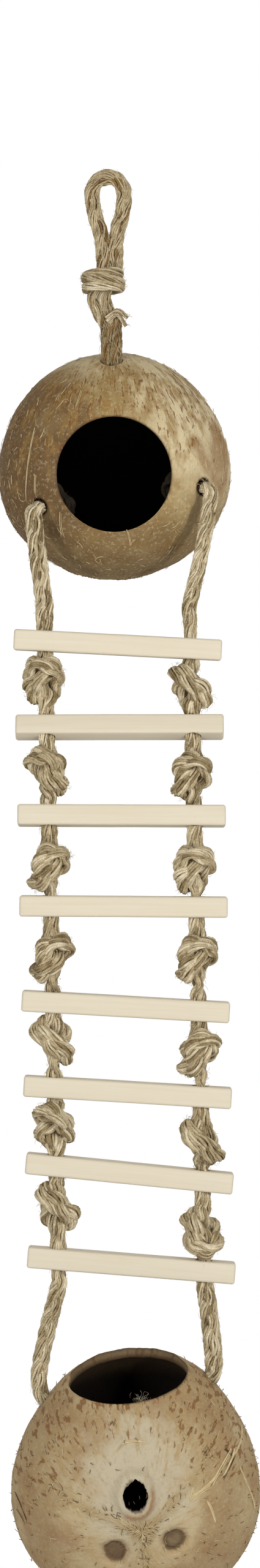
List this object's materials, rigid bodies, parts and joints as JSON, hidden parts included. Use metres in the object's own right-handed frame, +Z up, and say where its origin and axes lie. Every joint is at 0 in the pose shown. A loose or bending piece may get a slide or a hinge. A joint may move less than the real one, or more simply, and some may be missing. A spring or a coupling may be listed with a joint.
{
  "type": "hanging coconut ladder",
  "caption": "Hanging play ladder for birds: a hollow coconut house on a rope loop, wooden rungs on knotted ropes, and an open coconut cup at the foot.",
  "frame": {"origin": "Where a hook bears inside the top of the hanging loop.", "axes": "+Z up along the hanging line, -Y the front with the house's door, +X to the viewer's right."},
  "size_m": [0.119, 0.1587, 0.6931],
  "materials": {
    "jute_rope": "hairy laid natural rope",
    "coconut_shell": "scraped fibrous coconut shell",
    "pale_wood": "planed bare wood"
  },
  "bodies": {
    "hanger": {"hanging_loop": "jute_rope", "loop_leg_left": "jute_rope", "loop_leg_right": "jute_rope"},
    "hanging_knot": {"hanging_knot": "jute_rope"},
    "stem": {"hanging_stem": "jute_rope"},
    "house": {"coconut_house": "coconut_shell", "house_hanging_knot": "jute_rope", "house_end_knot_left": "jute_rope", "house_end_knot_right": "jute_rope", "house_rope_left": "jute_rope", "house_rope_right": "jute_rope"},
    "step_1": {"rung_rope_1_left": "jute_rope", "rung_rope_1_right": "jute_rope"},
    "rung_1": {"rung_1": "pale_wood"},
    "step_2": {"knot_1_left": "jute_rope", "knot_1_right": "jute_rope", "rung_rope_2_left": "jute_rope", "rung_rope_2_right": "jute_rope"},
    "rung_2": {"rung_2": "pale_wood"},
    "step_3": {"knot_2_left": "jute_rope", "knot_2_right": "jute_rope", "rung_rope_3_left": "jute_rope", "rung_rope_3_right": "jute_rope"},
    "rung_3": {"rung_3": "pale_wood"},
    "step_4": {"knot_3_left": "jute_rope", "knot_3_right": "jute_rope", "rung_rope_4_left": "jute_rope", "rung_rope_4_right": "jute_rope"},
    "rung_4": {"rung_4": "pale_wood"},
    "step_5": {"knot_4_left": "jute_rope", "knot_4_right": "jute_rope", "rung_rope_5_left": "jute_rope", "rung_rope_5_right": "jute_rope"},
    "rung_5": {"rung_5": "pale_wood"},
    "step_6": {"knot_5_left": "jute_rope", "knot_5_right": "jute_rope", "rung_rope_6_left": "jute_rope", "rung_rope_6_right": "jute_rope"},
    "rung_6": {"rung_6": "pale_wood"},
    "step_7": {"knot_6_left": "jute_rope", "knot_6_right": "jute_rope", "rung_rope_7_left": "jute_rope", "rung_rope_7_right": "jute_rope"},
    "rung_7": {"rung_7": "pale_wood"},
    "step_8": {"knot_7_left": "jute_rope", "knot_7_right": "jute_rope"},
    "rung_8": {"rung_8": "pale_wood"},
    "cup": {"coconut_cup": "coconut_shell", "cup_end_knot_left": "jute_rope", "cup_end_knot_right": "jute_rope", "cup_rope_left": "jute_rope", "cup_rope_right": "jute_rope"}
  },
  "joints": [
    {"name": "loop_fold", "type": "hinge", "parent": "hanger", "child": "hanging_knot", "pos_m": [0, 0, -0.0413], "axis": [1, 0, 0], "range_deg": [-25, 25], "deforming": ["loop_leg_left", "loop_leg_right"]},
    {"name": "stem_swing", "type": "hinge", "parent": "hanging_knot", "child": "stem", "pos_m": [0, 0, -0.0759], "axis": [0, 1, 0], "range_deg": [-15, 15], "deforming": ["hanging_stem"]},
    {"name": "house_twist", "type": "hinge", "parent": "stem", "child": "house", "pos_m": [0, 0, -0.0819], "axis": [0, 0, 1], "range_deg": [-90, 90]},
    {"name": "ladder_fold_1", "type": "hinge", "parent": "house", "child": "step_1", "pos_m": [0, -0.0161, -0.21015], "axis": [0.9973, 0, -0.0741], "range_deg": [-16, 16], "deforming": ["house_rope_left", "house_rope_right"]},
    {"name": "rung_1_slip", "type": "slide", "parent": "step_1", "child": "rung_1", "axis": [0, 0, 1], "range_m": [0, 0.0015]},
    {"name": "ladder_fold_2", "type": "hinge", "parent": "step_1", "child": "step_2", "pos_m": [0, -0.0161, -0.23156], "axis": [0.9973, 0, -0.0741], "range_deg": [-16, 16], "deforming": ["rung_rope_1_left", "rung_rope_1_right"]},
    {"name": "rung_2_slip", "type": "slide", "parent": "step_2", "child": "rung_2", "axis": [0, 0, 1], "range_m": [0, 0.0015]},
    {"name": "ladder_fold_3", "type": "hinge", "parent": "step_2", "child": "step_3", "pos_m": [0, -0.0161, -0.27266], "axis": [0.9998, 0, -0.02], "range_deg": [-16, 16], "deforming": ["rung_rope_2_left", "rung_rope_2_right"]},
    {"name": "rung_3_slip", "type": "slide", "parent": "step_3", "child": "rung_3", "axis": [0, 0, 1], "range_m": [0, 0.0015]},
    {"name": "ladder_fold_4", "type": "hinge", "parent": "step_3", "child": "step_4", "pos_m": [0, -0.0161, -0.31431], "axis": [0.9997, 0, -0.0257], "range_deg": [-16, 16], "deforming": ["rung_rope_3_left", "rung_rope_3_right"]},
    {"name": "rung_4_slip", "type": "slide", "parent": "step_4", "child": "rung_4", "axis": [0, 0, 1], "range_m": [0, 0.0015]},
    {"name": "ladder_fold_5", "type": "hinge", "parent": "step_4", "child": "step_5", "pos_m": [0, -0.0161, -0.35712], "axis": [0.9996, 0, -0.0286], "range_deg": [-16, 16], "deforming": ["rung_rope_4_left", "rung_rope_4_right"]},
    {"name": "rung_5_slip", "type": "slide", "parent": "step_5", "child": "rung_5", "axis": [0, 0, 1], "range_m": [0, 0.0015]},
    {"name": "ladder_fold_6", "type": "hinge", "parent": "step_5", "child": "step_6", "pos_m": [0, -0.0161, -0.40515], "axis": [0.9968, 0, -0.0797], "range_deg": [-16, 16], "deforming": ["rung_rope_5_left", "rung_rope_5_right"]},
    {"name": "rung_6_slip", "type": "slide", "parent": "step_6", "child": "rung_6", "axis": [0, 0, 1], "range_m": [0, 0.0015]},
    {"name": "ladder_fold_7", "type": "hinge", "parent": "step_6", "child": "step_7", "pos_m": [0, -0.0161, -0.44616], "axis": [0.9966, 0, -0.0826], "range_deg": [-16, 16], "deforming": ["rung_rope_6_left", "rung_rope_6_right"]},
    {"name": "rung_7_slip", "type": "slide", "parent": "step_7", "child": "rung_7", "axis": [0, 0, 1], "range_m": [0, 0.0015]},
    {"name": "ladder_fold_8", "type": "hinge", "parent": "step_7", "child": "step_8", "pos_m": [0, -0.0161, -0.48519], "axis": [0.9925, 0, -0.1219], "range_deg": [-16, 16], "deforming": ["rung_rope_7_left", "rung_rope_7_right"]},
    {"name": "rung_8_slip", "type": "slide", "parent": "step_8", "child": "rung_8", "axis": [0, 0, 1], "range_m": [0, 0.0015]},
    {"name": "ladder_fold_9", "type": "hinge", "parent": "step_8", "child": "cup", "pos_m": [0, -0.0161, -0.52919], "axis": [0.9948, 0, -0.1023], "range_deg": [-16, 16], "deforming": ["cup_rope_left", "cup_rope_right"]}
  ]
}
